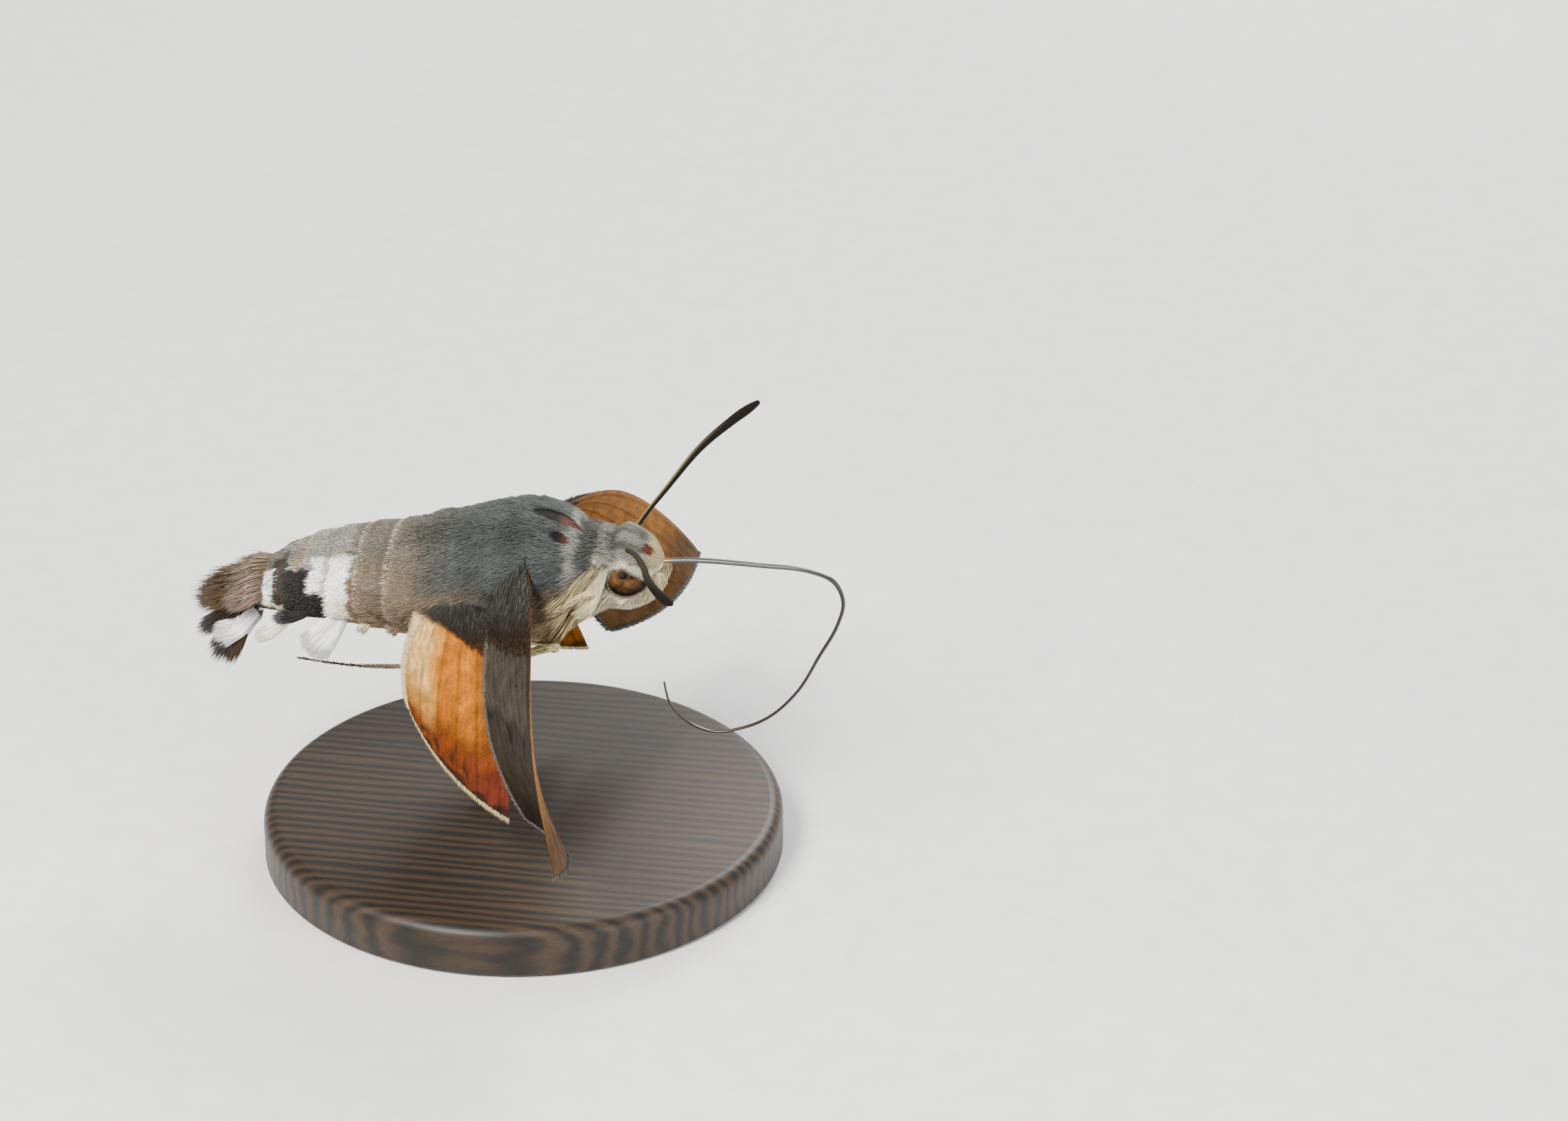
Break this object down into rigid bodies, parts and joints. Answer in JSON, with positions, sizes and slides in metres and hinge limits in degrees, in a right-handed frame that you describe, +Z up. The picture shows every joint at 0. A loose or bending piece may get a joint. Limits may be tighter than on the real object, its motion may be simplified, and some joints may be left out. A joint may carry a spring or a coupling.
{
  "type": "hummingbird hawk moth",
  "caption": "Life-size hovering hawk moth with a long curled tongue, downswept orange hindwings and a fanned tail, held up by a rod on a round base.",
  "frame": {"origin": "centre of the underside of the stand's round base", "axes": "+X the way the moth's head points, +Y the moth's left, +Z up"},
  "size_m": [0.0382, 0.0373, 0.026],
  "materials": {
    "body_fur": "short grey-brown fur",
    "tail_scales": "long dark brown scales with white side tufts",
    "pale_fur": "short cream fur",
    "forewing_scales": "fine grey-brown scales",
    "hindwing_scales": "fine orange scales with a dark edge",
    "eye": "glossy brown",
    "feeler": "dark, finely ringed",
    "tongue": "smooth horn",
    "leg": "scaled horn",
    "stand_wood": "dark satin wood",
    "stand_steel": "satin steel"
  },
  "bodies": {
    "root": {"thorax": "body_fur", "head": "body_fur", "abdomen_front": "body_fur", "abdomen_rear": "body_fur", "tail_fan": "tail_scales", "tongue_root": "tongue", "tongue_knee": "tongue", "tongue_mid": "tongue", "tongue_curl": "tongue", "tongue_tip": "tongue", "eye_left": "eye", "palp_left": "pale_fur", "antenna_left": "feeler", "leg_fore_left": "leg", "leg_mid_left": "leg", "leg_hind_left": "leg", "forewing_left": "forewing_scales", "hindwing_left": "hindwing_scales", "eye_right": "eye", "palp_right": "pale_fur", "antenna_right": "feeler", "leg_fore_right": "leg", "leg_mid_right": "leg", "leg_hind_right": "leg", "forewing_right": "forewing_scales", "hindwing_right": "hindwing_scales", "stand_base": "stand_wood", "stand_rod": "stand_steel"}
  },
  "joints": []
}
